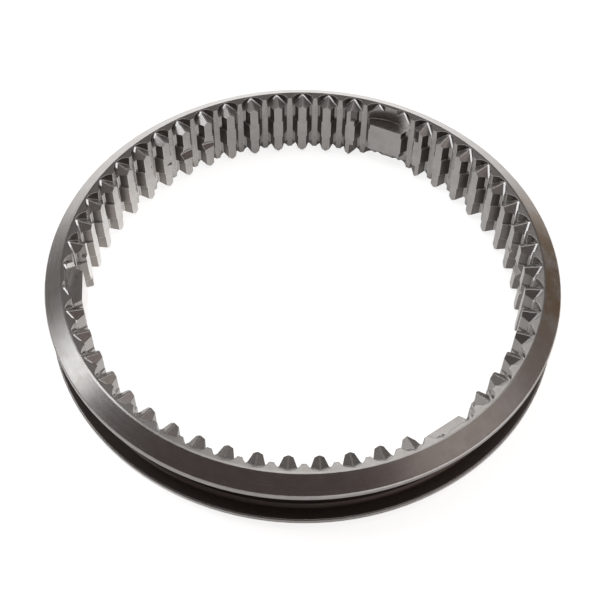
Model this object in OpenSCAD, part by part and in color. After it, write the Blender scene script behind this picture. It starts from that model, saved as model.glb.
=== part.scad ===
// Sliding sleeve of a synchronised gearbox: a splined ring with a shift-fork groove.
// Frame: the ring's axis is Z, the lower end face is z = 0 and one stop block is on +Y.
// All lengths are in millimetres.

/* [Ring] */
// Length of the sleeve along its axis
sleeve_h = 24; // [22:0.5:30]
// Width of the flat end face outside the scallops of the tooth ends
face_land = 0.5; // [0.5:0.1:3]
// Radial width of the conical bevel between an end face and a flange
bevel_w = 5.6; // [4:0.1:10]
// Height of the conical bevel between an end face and a flange
bevel_h = 3.7; // [2:0.1:4.5]
// Width of the shift-fork groove
groove_w = 12.6; // [9:0.1:13.4]
// Wall between the tooth roots and the bottom of the shift-fork groove
groove_wall = 3.55; // [3:0.05:5]
// Radius in the bottom corners of the groove
groove_fillet = 1.2; // [0.5:0.1:2.5]
// Length of the break on each turned edge
edge_break = 0.3; // [0.1:0.05:0.45]

/* [Spline] */
// Number of tooth places around the bore, in thirds between the stop blocks
tooth_count = 51; // [45:3:54]
// Diameter across the tooth tips
tip_d = 141.6; // [125:0.1:160]
// Height of the teeth, from their tips to their roots
tooth_h = 3.15; // [2.5:0.05:4]
// Width of a tooth tip in the full-thickness band
tip_land = 3.45; // [3.1:0.05:3.8]
// Width of a tooth space at its root in the full-thickness band
root_gap = 2.1; // [1.8:0.1:2.6]
// Length of the full-thickness band at the middle of each tooth
band_h = 7.4; // [4:0.1:10]
// Set-back of each flank at the tip, outside the band
relief_tip = 0.3; // [0.1:0.05:0.4]
// Set-back of each flank at the root, outside the band
relief_root = 0.9; // [0.6:0.02:1.1]
// Height above the root at which the set-back of a flank starts
relief_foot = 0.06; // [0.04:0.02:0.12]

/* [Pointed tooth ends] */
// Depth of the pointing scallops beyond the tooth roots, at the end face
point_over = 2.45; // [1.8:0.05:3]
// Width of the cusp left between two neighbouring scallops
cusp_w = 0.55; // [0.3:0.05:1]
// Draft of the pointing cutter's wall, in degrees
point_draft = 5; // [1:0.5:8]
// Slope of the two roof faces, in degrees
roof_angle = 41; // [35:1:50]
// Width of the blunt ridge on each pointed end
ridge_w = 0.5; // [0.2:0.1:1]
// Depth of the blunt ridge below the end face, where it meets the scallop
ridge_drop = 0.4; // [0.2:0.05:0.8]
// Fall of the blunt ridge toward the bore, in degrees
ridge_fall = 7.5; // [0:0.5:10]

/* [Stop blocks] */
// Depth of the pocket above and below each stop block
pocket_depth = 6.1; // [5:0.1:8]
// Radius of the pocket's round wall
pocket_r = 17; // [15:0.5:18]
// Depth of the pocket beyond the tooth roots
pocket_over = 1.75; // [1.3:0.05:2]
// Depth of the flat on the face of a stop block, beyond the tooth tips
stop_flat = 0.1; // [0.05:0.05:0.3]

/* [Detents] */
// Angle from a stop block to the detent beside it, in degrees
detent_angle = 58.4; // [50:0.2:70]
// Depth of the detent groove below the tooth tips
detent_depth = 1.35; // [0.8:0.05:2]
// Width of the detent groove at the tooth tips
detent_w = 5.3; // [4:0.1:7]
// Radius of the disc cutter that leaves the detent groove
detent_r = 29.6; // [24:0.2:34]
// Width of the flat at the bottom of the detent groove
detent_flat = 0.4; // [0.2:0.05:0.8]

/* [Hidden] */
stop_count = 3;
stop_start = 90;
mid_z = sleeve_h / 2;
pitch_angle = 360 / tooth_count;
// Radii, from the bore outward
tip_r = tip_d / 2;
root_r = tip_r + tooth_h;
pocket_reach_r = root_r + pocket_over;
point_reach_r = root_r + point_over;
face_r = point_reach_r + face_land;
groove_r = root_r + groove_wall;
outer_r = face_r + bevel_w;
// Radius of the pointing cutter at the end face, from the pitch of the teeth and the cusp
half_pitch = sin(pitch_angle / 2);
point_r = (point_reach_r * half_pitch - cusp_w / 2) / (1 + half_pitch);
stop_pitch = 360 / stop_count;
// Half widths of a tooth space at the tip and the root
gap_tip = (PI * tip_d / tooth_count - tip_land) / 2;
gap_root = root_gap / 2;
// Radius, inside the tooth tips, from which the spline cut starts
cut_r = tip_r - 2;
// How far each cut runs past the end faces
overrun = 1;
ring_segments = 240;
cutter_segments = 64;
fillet_steps = 6;

// Point at distance y along the direction a and x across it, counter-clockwise
function polar_point(a, x, y) = [y * cos(a) - x * sin(a), y * sin(a) + x * cos(a)];

// Half width, at radius r, of a space whose flank passes through two half widths
function flank_at(r, tip_half, root_half, foot_r) =
    tip_half + (root_half - tip_half) * (r - tip_r) / (foot_r - tip_r);

function unit(v) = v / norm(v);

// The two points that replace corner b, a short way back along its two edges
function broken(a, b, c) = [b + edge_break * unit(a - b), b + edge_break * unit(c - b)];

// Points of an arc about a centre, from one angle to another
function arc(centre, r, from, to) =
    [for (i = [0:fillet_steps]) centre + r * [cos(from + (to - from) * i / fillet_steps),
                                              sin(from + (to - from) * i / fillet_steps)]];

// Mirrors a list of half-profile points in the middle plane, in reverse order
function mirrored(points) =
    [for (i = [len(points) - 1:-1:0]) [points[i][0], sleeve_h - points[i][1]]];

// Lower half of the turned section, from the bore to the middle of the groove
function half_section() =
    let (
        groove_z = mid_z - groove_w / 2,
        bore = [tip_r, 0],
        face = [face_r, 0],
        bevel = [outer_r, bevel_h],
        rim = [outer_r, groove_z],
        foot = [groove_r, groove_z],
        fillet = [groove_r + groove_fillet, groove_z + groove_fillet]
    )
    concat([bore], broken(bore, face, bevel), broken(face, bevel, rim), broken(bevel, rim, foot),
           arc(fillet, groove_fillet, 270, 180));

// Turned ring: two bevelled flanges, the fork groove and the bore at the tooth tips
module ring_blank() {
    rotate_extrude($fn = ring_segments)
        polygon(concat(half_section(), mirrored(half_section())));
}

// Outline of one tooth space as broached, across the direction a
function broached_space(a) =
    let (inner = flank_at(cut_r, gap_tip, gap_root, root_r))
    [polar_point(a, -inner, cut_r), polar_point(a, -gap_root, root_r),
     polar_point(a, gap_root, root_r), polar_point(a, inner, cut_r)];

// Outline of one tooth space with its flanks set back, across the direction a
function relieved_space(a) =
    let (
        shoulder = gap_root + relief_root,
        shoulder_r = root_r - relief_root / 2,
        foot_r = root_r - relief_foot,
        inner = flank_at(cut_r, gap_tip + relief_tip, shoulder, shoulder_r)
    )
    [polar_point(a, -inner, cut_r), polar_point(a, -shoulder, shoulder_r),
     polar_point(a, -gap_root, foot_r), polar_point(a, gap_root, foot_r),
     polar_point(a, shoulder, shoulder_r), polar_point(a, inner, cut_r)];

// Directions of the open tooth spaces: the space behind each stop block stays solid
function open_spaces() =
    [for (i = [0:tooth_count - 1]) if (i % (tooth_count / stop_count) != 0) stop_start + i * pitch_angle];

// Tooth spaces, broached from end to end
module broached_spline() {
    translate([0, 0, -overrun])
        linear_extrude(sleeve_h + 2 * overrun)
            polygon([for (a = open_spaces()) each broached_space(a)]);
}

// Wider spaces between the tooth ends, above the band
module relieved_spline() {
    translate([0, 0, mid_z + band_h / 2])
        linear_extrude(mid_z - band_h / 2 + overrun)
            polygon([for (a = open_spaces()) each relieved_space(a)]);
}

// Repeats its children at both ends of the sleeve, mirrored in the middle plane
module both_ends() {
    children();
    translate([0, 0, sleeve_h])
        mirror([0, 0, 1])
            children();
}

module at_each_stop() {
    for (k = [0:stop_count - 1])
        rotate(stop_start + k * stop_pitch)
            children();
}

// Space above one roof-shaped tooth end: its ridge starts at the origin and runs along -X
module roof_space(half_w, rise) {
    eaves = (half_w - ridge_w / 2) * tan(roof_angle);
    translate([-2 * half_w, 0, 0])
        rotate([90, 0, 90])
            linear_extrude(2 * half_w + overrun)
                polygon([[-half_w, rise], [-half_w, -eaves], [-ridge_w / 2, 0],
                         [ridge_w / 2, 0], [half_w, -eaves], [half_w, rise]]);
}

// Cut that leaves one roof-shaped tooth end at the top, pointing along +X
module pointing_cut() {
    half_w = point_r + overrun;
    fall = ridge_drop + 2 * half_w * sin(ridge_fall);
    depth = fall + half_w * tan(roof_angle);
    intersection() {
        translate([point_reach_r - point_r, 0, sleeve_h - depth])
            cylinder(h = depth + overrun, r1 = point_r - depth * tan(point_draft),
                     r2 = point_r + overrun * tan(point_draft), $fn = cutter_segments);
        translate([point_reach_r, 0, sleeve_h - ridge_drop])
            rotate([0, -ridge_fall, 0])
                roof_space(half_w, fall + overrun);
    }
}

module pointing_cuts() {
    for (i = [0:tooth_count - 1])
        rotate(stop_start + (i + 0.5) * pitch_angle)
            pointing_cut();
}

// Round pocket above a stop block, toward +X
module pocket_cut() {
    translate([pocket_reach_r - pocket_r, 0, sleeve_h - pocket_depth])
        cylinder(h = pocket_depth + overrun, r = pocket_r, $fn = ring_segments);
}

// Flat on the face of a stop block toward +X, as wide as the spaces on its two sides allow
module stop_face_cut() {
    width = 2 * tip_r * sin(pitch_angle);
    translate([cut_r, -width / 2, -overrun])
        cube([tip_r + stop_flat - cut_r, width, sleeve_h + 2 * overrun]);
}

// V groove of one detent, turned about an axis beside the sleeve's own
module detent_cut() {
    slope = (detent_w - detent_flat) / 2 / detent_depth;
    reach = 3 * detent_depth;
    half_w = detent_flat / 2 + reach * slope;
    translate([tip_r + detent_depth - detent_r, 0, mid_z])
        rotate_extrude($fn = ring_segments)
            polygon([[detent_r - reach, -half_w], [detent_r, -detent_flat / 2],
                     [detent_r, detent_flat / 2], [detent_r - reach, half_w]]);
}

// Ring with its internal teeth, still square at both ends
module splined_ring() {
    difference() {
        difference() {
            ring_blank();
            broached_spline();
        }
        both_ends()
            relieved_spline();
    }
}

// Ring with its stop blocks faced flat and the pockets above and below them
module stopped_ring() {
    difference() {
        difference() {
            splined_ring();
            at_each_stop()
                stop_face_cut();
        }
        both_ends()
            at_each_stop()
                pocket_cut();
    }
}

// Ring with its detent grooves across the teeth
module detented_ring() {
    difference() {
        stopped_ring();
        at_each_stop()
            rotate(detent_angle)
                detent_cut();
    }
}

module sliding_sleeve() {
    color("lightslategray")
        difference() {
            detented_ring();
            both_ends()
                pointing_cuts();
        }
}

sliding_sleeve();
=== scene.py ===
import math

import bpy
from mathutils import Matrix, Vector


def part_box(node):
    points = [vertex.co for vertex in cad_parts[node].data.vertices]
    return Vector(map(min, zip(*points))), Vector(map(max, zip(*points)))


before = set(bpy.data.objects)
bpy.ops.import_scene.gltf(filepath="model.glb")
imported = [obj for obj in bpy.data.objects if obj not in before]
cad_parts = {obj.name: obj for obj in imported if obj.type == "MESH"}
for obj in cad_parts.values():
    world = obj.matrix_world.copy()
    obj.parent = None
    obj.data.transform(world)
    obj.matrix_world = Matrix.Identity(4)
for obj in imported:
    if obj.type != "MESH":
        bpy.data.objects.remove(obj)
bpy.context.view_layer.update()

# Lengths are in metres, in the part's own frame. Colours are linear. A pair is the two ends of a span,
# or a value at the front of the ring and one at its back.
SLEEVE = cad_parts["sliding_sleeve"]
FACE_CENTRE = Vector((0.0, 0.0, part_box("sliding_sleeve")[1].z))
UP = (0.0, 0.0, 1.0)

# Camera: the view's turn, tilt and roll, and where the photograph's centre falls on the upper face
VIEW_TURN = math.radians(23.94)
VIEW_TILT = math.radians(53.1)
VIEW_ROLL = math.radians(0.846)
VIEW_DISTANCE = 0.3653
AIM_RIGHT = -0.00084
AIM_UP = -0.01320
SENSOR_WIDTH = 36.0
FOCAL_LENGTH = 68.6
CLIP_START = 0.01

# Level directions as the photograph shows them
BACKWARD = Vector((-math.sin(VIEW_TURN), math.cos(VIEW_TURN), 0.0))
LEFTWARD = Vector((-math.cos(VIEW_TURN), -math.sin(VIEW_TURN), 0.0))
RIGHT_FRONT = -0.94 * LEFTWARD - 0.34 * BACKWARD

# Sleeve: sizes of the part that the finish follows
OUTER_RADIUS = 0.0825
FACE_RADIUS = 0.0769
GROOVE_HALF = 0.0063
MID_Z = FACE_CENTRE.z / 2
PITCH = 2 * math.pi / 51
STOP_TURN = math.radians(90.0)

# Tooth ends: a drafted round cutter leaves a scallop behind each roof-shaped end
REACH_RADIUS = 0.0764
CUTTER_RADIUS = 0.00417
CUTTER_DRAFT = math.tan(math.radians(5.0))
ROOF_SLOPE = math.tan(math.radians(41.0))
RIDGE_FALL = math.tan(math.radians(7.5))
RIDGE_DROP = 0.0004
RIDGE_HALF = 0.00025

# Run-out line, where a roof ends in a level ledge: its distance from the scallop's top at the ridge,
# its slope away from the ridge, its half width, the share of that which carries the full painted highlight,
# and its lean
RUNOUT_START = (0.0006, 0.0003)
RUNOUT_SLOPE = (0.85, 0.6)
LINE_HALF = (0.00026, 0.00045)
LINE_CORE = 0.8
LINE_FADE = (0.0011, 0.0015)
LINE_SIDEWAYS = 0.23
LINE_UPWARD = 0.92
LINE_INWARD = 0.318

# Roof faces: how far their shading leans up, most on the left slopes at the rear, and towards the bore
ROOF_UPWARD = (0.12, 0.45)
ROOF_INWARD = 0.1
ROOF_METAL = 0.65
REAR_BAND = (0.048, 0.058)

# Distances within which a point counts as on a surface, and half the depth of the change to the back
ON_SURFACE = 0.00006
OFF_SURFACE = 0.0001
MIDDLE_BAND = 0.03

# Finish: steel, and how strong the painted shade is on each kind of surface; the groove has a darker colour
# of its own
STEEL_BRIGHT = (0.53, 0.515, 0.50, 1)
STEEL_DULL = (0.46, 0.435, 0.41, 1)
# Painted shade: mottled dark colours that stand in for shade on flanks, in recesses and on the tooth ends
PAINTED_SHADE_DARK = (0.09, 0.075, 0.067, 1)
PAINTED_SHADE_LIGHT = (0.15, 0.13, 0.115, 1)
DARKENED_ROUGHNESS = 0.12
# Darker colour inside the groove
GROOVE_DARK = (0.21, 0.18, 0.165, 1)
# Strengths of the painted shade: on the flanks, growing towards the back; in recesses, from occlusion; on
# tooth-end walls and ledges at the back; on the right roofs at the front
FLANK_SHADE = (0.3, 0.8)
FLANK_BAND = (0.0, 0.6)
FLANK_FACING = (0.3, 0.5)
WALL_FACING = (0.5, 0.3)
RECESS_SHADE = 0.5
RECESS_REACH = 0.005
RECESS_OPENNESS = (0.75, 0.3)
RUNOUT_SHADE = 0.9
RIGHT_ROOF_SHADE = 0.45
RIGHT_BAND = (0.01, -0.04)
# Brown blotches on the right bevel: a stain, partly a painted warm reflection
STAIN_AND_REFLECTION = (0.34, 0.255, 0.175, 1)
STAIN_AND_REFLECTION_PLACE = (0.0735, 0.030, 0.022)
STAIN_AND_REFLECTION_REACH = (0.045, 0.012)
# Edge colour: wear on edges, and painted highlight along concave corners too
WORN_EDGE_AND_HIGHLIGHT = (0.88, 0.87, 0.85, 1)
EDGE_RADIUS = 0.00018
EDGE_SAMPLES = 8
EDGE_COSINE = (0.995, 0.88)
# Near-white colour of the painted highlight on the run-out lines
PAINTED_LINE_HIGHLIGHT = (0.97, 0.97, 0.97, 1)

# Finish: where each mask starts and is full, by radius or by distance from the middle of the groove
INSIDE_BAND = (FACE_RADIUS, FACE_RADIUS - 0.0002)
BEVEL_BAND = (FACE_RADIUS, FACE_RADIUS + 0.0004)
GROOVE_SIDES = (GROOVE_HALF + 0.00012, GROOVE_HALF + 0.00004)
GROOVE_MOUTH = (OUTER_RADIUS - 0.0004, OUTER_RADIUS - 0.0008)
GROOVE_BOTTOM = (FACE_RADIUS - 0.0004, FACE_RADIUS - 0.0002)

# Finish: noise scales, per metre, the spans of noise that show, and the relief of the turning marks
MOTTLE_SCALE = 260.0
STEEL_SPAN = (0.35, 0.7)
PAINTED_SHADE_SPAN = (0.3, 0.7)
STAIN_AND_REFLECTION_SCALE = 120.0
STAIN_AND_REFLECTION_SPAN = (0.28, 0.52)
CLOUD_SCALE = 45.0
LATHE_SCALE = 2600.0
LATHE_SPAN = (0.3, 0.7)
LATHE_WANDER = 0.0012
LATHE_ROUGHNESS = (0.22, 0.28)
LATHE_RELIEF = 0.00003
LATHE_STRENGTH = 0.12

# Floor: its paper, and how brightly the steel mirrors it near the sleeve, behind it, in the ring and
# at the right front
FLOOR_SIZE = 8.0
FLOOR_GAP = 0.0002
PAPER = (0.85, 0.85, 0.85, 1)
CAMERA_GLOW = 0.78
GLOW_NEAR = 0.23
GLOW_BACK = 0.95
GLOW_LEFT = 0.95
GLOW_RIGHT = 0.25
GLOW_FRONT = 0.8
BACK_BAND = (0.07, 0.14)
FAR_RIGHT_BAND = (-0.25, -0.05)
FAR_RIGHT_SHARE = 0.5
LEFT_BAND = (0.02, 0.07)
RIGHT_SIDE_BAND = (-0.02, -0.07)
RING_BAND = (0.09, 0.078)
RIGHT_FRONT_BAND = (0.1, 0.16)
FRONT_BAND = (0.05, -0.02)

# Surroundings: brightness and tint in front, behind and at the right front
WORLD_FRONT = 0.085
WORLD_BACK = 0.18
WORLD_RIGHT = 0.11
WORLD_BAND = (-0.4, 0.6)
WORLD_RIGHT_BAND = (0.4, 0.7)
FRONT_TINT = (1.0, 0.79, 0.76, 1)
BACK_TINT = (1.0, 0.92, 0.90, 1)
TINT_BAND = (-0.4, 0.4)

# Light of the lamps
COOL_LIGHT = (0.95, 0.98, 1.0)
WHITE_LIGHT = (1.0, 1.0, 1.0)
WARM_LIGHT = (1.0, 0.96, 0.92)

# Sockets of a Mix node for each kind of value: factor, first value, second value and result
MIX_SOCKETS = {"RGBA": (0, 6, 7, 2), "VECTOR": (0, 4, 5, 1)}


def add_camera():
    """Camera at the photograph's viewing angle."""
    turn = Matrix.Rotation(VIEW_TURN, 4, "Z") @ Matrix.Rotation(math.pi / 2 - VIEW_TILT, 4, "X")
    aim = turn @ Vector((AIM_RIGHT, AIM_UP, VIEW_DISTANCE))
    data = bpy.data.cameras.new("camera")
    data.sensor_width = SENSOR_WIDTH
    data.lens = FOCAL_LENGTH
    data.clip_start = CLIP_START
    camera = bpy.data.objects.new("camera", data)
    camera.matrix_world = Matrix.Translation(FACE_CENTRE + aim) @ turn @ Matrix.Rotation(VIEW_ROLL, 4, "Z")
    bpy.context.scene.collection.objects.link(camera)
    bpy.context.scene.camera = camera


class Nodes:
    """Adds nodes to a material's or the world's node tree and links them.

    A value given to a node is a number, a colour, a vector or another node's output socket."""

    def __init__(self, owner):
        owner.use_nodes = True
        self.tree = owner.node_tree
        self.tree.nodes.clear()

    def add(self, kind, settings=None, values=(), **inputs):
        """One node. The values go to its first sockets and the inputs to the sockets they name."""
        node = self.tree.nodes.new("ShaderNode" + kind)
        for name, value in (settings or {}).items():
            setattr(node, name, value)
        for index, value in enumerate(values):
            self.plug(node.inputs[index], value)
        for name, value in inputs.items():
            self.plug(node.inputs[name.replace("_", " ")], value)
        return node

    def plug(self, socket, value):
        if isinstance(value, bpy.types.NodeSocket):
            self.tree.links.new(value, socket)
        else:
            socket.default_value = value

    def math(self, operation, a, b=0.0):
        return self.add("Math", {"operation": operation}, (a, b)).outputs[0]

    def product(self, *factors):
        result = factors[0]
        for factor in factors[1:]:
            result = self.math("MULTIPLY", result, factor)
        return result

    def largest(self, *values):
        result = values[0]
        for value in values[1:]:
            result = self.math("MAXIMUM", result, value)
        return result

    def vector(self, operation, a, b=(0.0, 0.0, 0.0)):
        """Result of a vector operation, which is a number for a length or a dot product."""
        node = self.add("VectorMath", {"operation": operation}, (a, b))
        return node.outputs["Value" if operation in ("LENGTH", "DOT_PRODUCT") else "Vector"]

    def scaled(self, vector, factor):
        return self.add("VectorMath", {"operation": "SCALE"}, Vector=vector, Scale=factor).outputs[0]

    def combined(self, **parts):
        """Vector with the given parts X, Y and Z. A part left out is zero."""
        return self.add("CombineXYZ", **parts).outputs[0]

    def remap(self, value, low, high, to_low=0.0, to_high=1.0):
        """Value taken from one span to another, and held inside it."""
        return self.add("MapRange", Value=value, From_Min=low, From_Max=high,
                        To_Min=to_low, To_Max=to_high).outputs[0]

    def between(self, share, ends):
        """Number at a share of the way between two ends."""
        return self.remap(share, 0.0, 1.0, *ends)

    def mix(self, factor, a, b, kind="RGBA"):
        """Colour or vector between a and b."""
        node = self.add("Mix", {"data_type": kind})
        *sockets, result = MIX_SOCKETS[kind]
        for index, value in zip(sockets, (factor, a, b)):
            self.plug(node.inputs[index], value)
        return node.outputs[result]

    def noise(self, vector, scale, detail, roughness):
        return self.add("TexNoise", Vector=vector, Scale=scale, Detail=detail,
                        Roughness=roughness).outputs["Fac"]


class Surface:
    """Place and direction of a point on the sleeve."""

    def __init__(self, nodes):
        coordinates = nodes.add("TexCoord").outputs
        self.place = coordinates["Object"]
        self.normal = coordinates["Normal"]
        axes = nodes.add("SeparateXYZ", Vector=self.place).outputs
        self.x, self.y, self.height = axes["X"], axes["Y"], axes["Z"]
        self.across = nodes.combined(X=self.x, Y=self.y)
        self.radius = nodes.vector("LENGTH", self.across)
        self.backward = nodes.vector("DOT_PRODUCT", self.place, BACKWARD)
        self.leftward = nodes.vector("DOT_PRODUCT", self.place, LEFTWARD)
        self.behind = nodes.remap(self.backward, -MIDDLE_BAND, MIDDLE_BAND)


class ToothEnd:
    """Masks and shading directions on the pointed end of a tooth.

    The masks are 1 on the scallop's wall, on the two roof faces, on the ledge where a roof runs out
    and on the line between roof and ledge, which carries a painted highlight."""

    def __init__(self, nodes, surface):
        self.locate(nodes, surface)
        self.measure(nodes, surface)
        self.mask(nodes, surface)
        self.lean(nodes, surface)

    def locate(self, nodes, surface):
        """Place beside the tooth's ridge, short of the scallop's top and below the end face."""
        heading = nodes.math("ARCTAN2", surface.y, surface.x)
        pitches = nodes.math("DIVIDE", nodes.math("SUBTRACT", heading, STOP_TURN), PITCH)
        off_tooth = nodes.product(nodes.math("SUBTRACT", nodes.math("FRACT", pitches), 0.5), PITCH)
        tooth_turn = nodes.math("SUBTRACT", heading, off_tooth)
        self.outward = nodes.combined(X=nodes.math("COSINE", tooth_turn), Y=nodes.math("SINE", tooth_turn))
        self.beside = nodes.product(surface.radius, nodes.math("SINE", off_tooth))
        along = nodes.product(surface.radius, nodes.math("COSINE", off_tooth))
        self.short = nodes.math("SUBTRACT", REACH_RADIUS, along)
        above_middle = nodes.math("SUBTRACT", surface.height, MID_Z)
        self.depth = nodes.math("SUBTRACT", MID_Z, nodes.math("ABSOLUTE", above_middle))
        self.level = nodes.combined(Z=nodes.math("SIGN", above_middle))

    def measure(self, nodes, surface):
        """Distances from the scallop's wall, from the roof, from the ridge and past the run-out line."""
        cutter_axis = nodes.scaled(self.outward, REACH_RADIUS - CUTTER_RADIUS)
        off_axis = nodes.vector("LENGTH", nodes.vector("SUBTRACT", cutter_axis, surface.across))
        wall_radius = nodes.math("SUBTRACT", CUTTER_RADIUS, nodes.product(self.depth, CUTTER_DRAFT))
        self.off_wall = nodes.math("ABSOLUTE", nodes.math("SUBTRACT", wall_radius, off_axis))

        below_apex = nodes.math("SUBTRACT", self.depth, RIDGE_DROP)
        below_ridge = nodes.math("SUBTRACT", below_apex, nodes.product(self.short, RIDGE_FALL))
        off_ridge = nodes.math("SUBTRACT", nodes.math("ABSOLUTE", self.beside), RIDGE_HALF)
        self.past_ridge = nodes.math("MAXIMUM", off_ridge, 0.0)
        self.above_roof = nodes.math("SUBTRACT", nodes.product(self.past_ridge, ROOF_SLOPE), below_ridge)

        start = nodes.between(surface.behind, RUNOUT_START)
        slope = nodes.between(surface.behind, RUNOUT_SLOPE)
        runout = nodes.math("ADD", nodes.product(self.past_ridge, slope), start)
        self.past_line = nodes.math("SUBTRACT", runout, self.short)

    def mask(self, nodes, surface):
        on_wall = nodes.remap(self.off_wall, OFF_SURFACE, ON_SURFACE)
        self.scallop = nodes.product(on_wall, nodes.remap(self.above_roof, 0.0, OFF_SURFACE))
        off_roof = nodes.math("ABSOLUTE", self.above_roof)
        on_roof = nodes.product(nodes.remap(off_roof, OFF_SURFACE, ON_SURFACE),
                                nodes.remap(surface.radius, FACE_RADIUS, REACH_RADIUS))
        self.roof = nodes.product(on_roof, nodes.remap(self.past_ridge, 0.0, OFF_SURFACE),
                                  nodes.remap(self.past_line, 0.0, -ON_SURFACE))
        self.ledge = nodes.product(on_roof, nodes.remap(self.past_line, 0.0, ON_SURFACE))

        off_line = nodes.math("DIVIDE", nodes.math("ABSOLUTE", self.past_line),
                              nodes.between(surface.behind, LINE_HALF))
        faded = nodes.product(nodes.remap(self.beside, *LINE_FADE), surface.behind)
        self.line = nodes.product(on_roof, nodes.remap(off_line, 1.0, LINE_CORE),
                                  nodes.math("SUBTRACT", 1.0, faded))

    def lean(self, nodes, surface):
        """Normal of the bright line, and the amount by which the roof's own normal is eased."""
        side = nodes.product(nodes.math("SIGN", self.beside), LINE_SIDEWAYS)
        sideways = nodes.scaled(nodes.vector("CROSS_PRODUCT", UP, self.outward), side)
        rise = nodes.vector("ADD", nodes.scaled(self.level, LINE_UPWARD),
                            nodes.scaled(self.outward, -LINE_INWARD))
        self.line_normal = nodes.vector("NORMALIZE", nodes.vector("ADD", sideways, rise))
        rear_left = nodes.product(nodes.remap(self.beside, 0.0, OFF_SURFACE),
                                  nodes.remap(surface.backward, *REAR_BAND))
        self.easing = nodes.vector("ADD", nodes.scaled(self.level, nodes.between(rear_left, ROOF_UPWARD)),
                                   nodes.scaled(self.outward, -ROOF_INWARD))


def steel_material():
    """Satin machined steel: turning marks, mottling, painted shade on flanks and tooth ends, a darker
    groove, edges brightened by wear and by painted highlight.
    """
    material = bpy.data.materials.new("satin_steel")
    nodes = Nodes(material)
    surface = Surface(nodes)
    tooth = ToothEnd(nodes, surface)
    rounded = nodes.add("Bevel", {"samples": EDGE_SAMPLES}, Radius=EDGE_RADIUS).outputs[0]
    # Painted shade inside the ring: darker on flanks, in recesses and on the tooth ends
    inner_shade = inner_painted_shade(nodes, surface, tooth)
    groove = groove_mask(nodes, surface)
    lathe = turning_marks(nodes, surface)

    rough = nodes.math("ADD", nodes.remap(lathe, *LATHE_SPAN, *LATHE_ROUGHNESS),
                       nodes.product(nodes.largest(inner_shade, groove), DARKENED_ROUGHNESS))
    metal = nodes.between(nodes.product(tooth.roof, surface.behind), (1.0, ROOF_METAL))
    bump = nodes.add("Bump", Strength=LATHE_STRENGTH, Distance=LATHE_RELIEF, Height=lathe,
                     Normal=steel_normal(nodes, tooth, rounded))
    shader = nodes.add("BsdfPrincipled", Metallic=metal, Roughness=rough, Normal=bump.outputs[0],
                       Base_Color=steel_colour(nodes, surface, tooth, rounded, inner_shade, groove))
    nodes.add("OutputMaterial", Surface=shader.outputs[0])
    return material


def steel_normal(nodes, tooth, rounded):
    """Normal with softened edges, eased roofs, level ledges and the bright line's own lean."""
    eased = nodes.vector("NORMALIZE", nodes.vector("ADD", rounded, nodes.scaled(tooth.easing, tooth.roof)))
    levelled = nodes.mix(tooth.ledge, eased, tooth.level, "VECTOR")
    return nodes.mix(tooth.line, levelled, tooth.line_normal, "VECTOR")


def steel_colour(nodes, surface, tooth, rounded, inner_shade, groove):
    """Mottled steel under the stain, which is partly a painted warm reflection, under the painted shade and
    the darker groove, bright on edges from wear and painted highlight, and with a painted highlight on the
    run-out lines.
    """
    mottle = nodes.noise(surface.place, MOTTLE_SCALE, detail=6.0, roughness=0.62)
    base = nodes.mix(nodes.remap(mottle, *STEEL_SPAN), STEEL_BRIGHT, STEEL_DULL)
    # Colour of the painted shade, mottled
    painted_shade_colour = nodes.mix(nodes.remap(mottle, *PAINTED_SHADE_SPAN), PAINTED_SHADE_DARK, PAINTED_SHADE_LIGHT)
    # Stain on the bevel, partly a painted warm reflection
    stained_and_reflecting = nodes.mix(stain_and_reflection_mask(nodes, surface), base, STAIN_AND_REFLECTION)
    coated = nodes.mix(groove, nodes.mix(inner_shade, stained_and_reflecting, painted_shade_colour), GROOVE_DARK)
    flat = nodes.add("NewGeometry").outputs["True Normal"]
    # Brighter on sharp edges, convex and concave: partly wear, partly painted highlight
    edge = nodes.remap(nodes.vector("DOT_PRODUCT", rounded, flat), *EDGE_COSINE)
    worn_and_highlit = nodes.mix(edge, coated, WORN_EDGE_AND_HIGHLIGHT)
    # Painted highlight on the run-out lines
    return nodes.mix(tooth.line, worn_and_highlit, PAINTED_LINE_HIGHLIGHT)


def turning_marks(nodes, surface):
    """Fine marks that run around the ring and wander a little."""
    cloud = nodes.noise(surface.place, CLOUD_SCALE, detail=3.0, roughness=0.5)
    turned = nodes.combined(X=surface.radius, Y=surface.height, Z=nodes.product(cloud, LATHE_WANDER))
    return nodes.noise(turned, LATHE_SCALE, detail=3.0, roughness=0.7)


def inner_painted_shade(nodes, surface, tooth):
    """Strength of the painted shade inside the ring: dark colour put on flanks, in occluded recesses and on
    the tooth ends, more towards the back, and on the right roofs at the front.
    """
    flank_share = nodes.remap(surface.behind, *FLANK_BAND, *FLANK_SHADE)
    on_flank = nodes.product(flank_mask(nodes, surface), flank_share)
    recess = nodes.add("AmbientOcclusion", {"samples": EDGE_SAMPLES}, Distance=RECESS_REACH)
    in_recess = nodes.product(nodes.remap(recess.outputs["AO"], *RECESS_OPENNESS), RECESS_SHADE)
    runout = nodes.product(surface.behind, RUNOUT_SHADE)
    # Painted shade on walls: flanks, occluded recesses, and scallop walls at the back
    wall_shade = nodes.largest(on_flank, in_recess, nodes.product(tooth.scallop, runout))

    facing = nodes.add("SeparateXYZ", Vector=surface.normal).outputs["Z"]
    wall = nodes.remap(nodes.math("ABSOLUTE", facing), *WALL_FACING)
    inside = nodes.remap(surface.radius, *INSIDE_BAND)
    at_front = nodes.between(surface.behind, (RIGHT_ROOF_SHADE, 0.0))
    on_roof = nodes.product(tooth.roof, nodes.remap(surface.leftward, *RIGHT_BAND), at_front)
    return nodes.largest(nodes.product(wall_shade, wall, inside), nodes.product(tooth.ledge, runout), on_roof)


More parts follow.
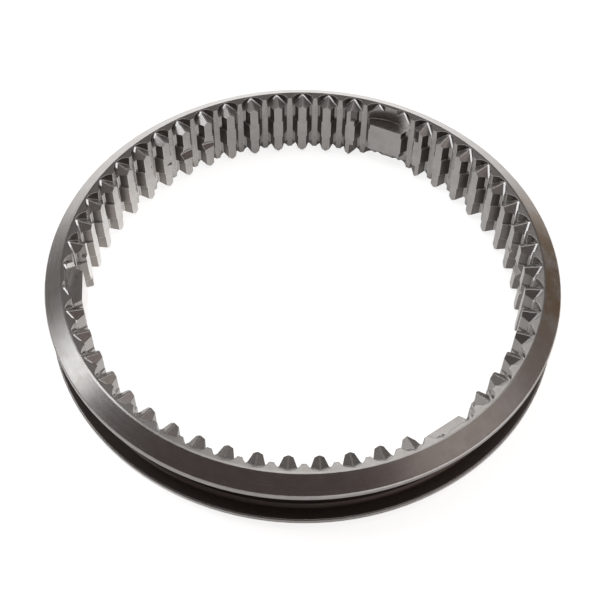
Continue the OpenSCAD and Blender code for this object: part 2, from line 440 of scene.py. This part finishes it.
def flank_mask(nodes, surface):
    """1 on surfaces that face along the ring, such as the tooth flanks."""
    around = nodes.vector("CROSS_PRODUCT", UP, nodes.vector("NORMALIZE", surface.across))
    sideways = nodes.math("ABSOLUTE", nodes.vector("DOT_PRODUCT", surface.normal, around))
    return nodes.remap(sideways, *FLANK_FACING)


def stain_and_reflection_mask(nodes, surface):
    """Brown blotches on one stretch of the bevel: a stain, partly a painted warm reflection."""
    distance = nodes.vector("LENGTH", nodes.vector("SUBTRACT", surface.place, STAIN_AND_REFLECTION_PLACE))
    bevel = nodes.remap(surface.radius, *BEVEL_BAND)
    blotch = nodes.noise(surface.place, STAIN_AND_REFLECTION_SCALE, detail=5.0, roughness=0.6)
    return nodes.product(nodes.remap(distance, *STAIN_AND_REFLECTION_REACH), bevel, nodes.remap(blotch, *STAIN_AND_REFLECTION_SPAN))


def groove_mask(nodes, surface):
    """1 inside the fork groove, fading out towards its rims."""
    off_middle = nodes.math("ABSOLUTE", nodes.math("SUBTRACT", surface.height, MID_Z))
    between = nodes.remap(off_middle, *GROOVE_SIDES)
    deep = nodes.remap(surface.radius, *GROOVE_MOUTH)
    outside = nodes.remap(surface.radius, *GROOVE_BOTTOM)
    return nodes.product(between, deep, outside)


def floor_material():
    """White paper: it takes the object's shadow, stays white to the camera and glows in the steel."""
    material = bpy.data.materials.new("white_floor")
    nodes = Nodes(material)
    path = nodes.add("LightPath").outputs
    mirrored = nodes.math("MAXIMUM", path["Is Glossy Ray"], path["Is Transmission Ray"])
    reflected = nodes.product(mirrored, mirrored_glow(nodes))
    seen = nodes.product(path["Is Camera Ray"], CAMERA_GLOW)
    paper = nodes.add("BsdfDiffuse", Color=PAPER)
    glow = nodes.add("Emission", Strength=nodes.math("ADD", seen, reflected))
    both = nodes.add("AddShader", None, (paper.outputs[0], glow.outputs[0]))
    nodes.add("OutputMaterial", Surface=both.outputs[0])
    return material


def mirrored_glow(nodes):
    """Brightness of the floor as the steel mirrors it, which changes from place to place."""
    place = nodes.add("NewGeometry").outputs["Position"]
    backward = nodes.vector("DOT_PRODUCT", place, BACKWARD)
    leftward = nodes.vector("DOT_PRODUCT", place, LEFTWARD)
    back = nodes.product(nodes.remap(backward, *BACK_BAND, GLOW_NEAR, GLOW_BACK),
                         nodes.remap(leftward, *FAR_RIGHT_BAND, FAR_RIGHT_SHARE, 1.0))
    sides = nodes.math("ADD", nodes.remap(leftward, *LEFT_BAND, 0.0, GLOW_LEFT),
                       nodes.remap(leftward, *RIGHT_SIDE_BAND, 0.0, GLOW_RIGHT))
    in_ring = nodes.product(nodes.remap(nodes.vector("LENGTH", place), *RING_BAND), sides)
    front = nodes.product(nodes.remap(nodes.vector("DOT_PRODUCT", place, RIGHT_FRONT), *RIGHT_FRONT_BAND),
                          nodes.remap(backward, *FRONT_BAND, 0.0, GLOW_FRONT))
    return nodes.math("ADD", nodes.math("ADD", back, in_ring), front)


def add_floor():
    half = FLOOR_SIZE / 2
    mesh = bpy.data.meshes.new("floor")
    mesh.from_pydata([(-half, -half, -FLOOR_GAP), (half, -half, -FLOOR_GAP),
                      (half, half, -FLOOR_GAP), (-half, half, -FLOOR_GAP)], [], [(0, 1, 2, 3)])
    mesh.materials.append(floor_material())
    floor = bpy.data.objects.new("floor", mesh)
    bpy.context.scene.collection.objects.link(floor)


def add_softbox(name, turn, tilt, distance, size, radiance, colour):
    """Lamp of even brightness that faces the object. Turn is counted from the camera's right, in degrees."""
    data = bpy.data.lights.new(name, "AREA")
    data.shape = "RECTANGLE"
    data.size, data.size_y = size
    data.energy = radiance * math.pi * size[0] * size[1]
    data.color = colour
    heading = VIEW_TURN + math.radians(turn)
    rise = math.radians(tilt)
    toward = Vector((math.cos(heading) * math.cos(rise), math.sin(heading) * math.cos(rise), math.sin(rise)))
    facing = toward.to_track_quat("Z", "Y").to_matrix().to_4x4()
    lamp = bpy.data.objects.new(name, data)
    lamp.matrix_world = Matrix.Translation(FACE_CENTRE + distance * toward) @ facing
    bpy.context.scene.collection.objects.link(lamp)


def add_lamps():
    add_softbox("left_box", turn=172.0, tilt=38.0, distance=0.9, size=(0.33, 0.60), radiance=2.05,
                colour=COOL_LIGHT)
    add_softbox("top_box", turn=42.0, tilt=82.0, distance=0.86, size=(0.70, 0.90), radiance=0.95,
                colour=WHITE_LIGHT)
    add_softbox("right_box", turn=-24.0, tilt=36.0, distance=0.6, size=(0.46, 0.18), radiance=0.30,
                colour=WARM_LIGHT)


def add_surroundings():
    """Dim studio, darker and warmer in front, and a little lighter at the right front."""
    world = bpy.data.worlds.new("studio")
    nodes = Nodes(world)
    direction = nodes.add("TexCoord").outputs["Generated"]
    backward = nodes.vector("DOT_PRODUCT", direction, BACKWARD)
    right_front = nodes.vector("DOT_PRODUCT", direction, RIGHT_FRONT)
    strength = nodes.math("ADD", nodes.remap(backward, *WORLD_BAND, WORLD_FRONT, WORLD_BACK),
                          nodes.remap(right_front, *WORLD_RIGHT_BAND, 0.0, WORLD_RIGHT))
    tint = nodes.mix(nodes.remap(backward, *TINT_BAND), FRONT_TINT, BACK_TINT)
    glow = nodes.add("Background", Color=tint, Strength=strength)
    nodes.add("OutputWorld", Surface=glow.outputs[0])
    bpy.context.scene.world = world


add_camera()
SLEEVE.data.materials.clear()
SLEEVE.data.materials.append(steel_material())
add_floor()
add_lamps()
add_surroundings()
bpy.context.scene.view_settings.view_transform = "Standard"
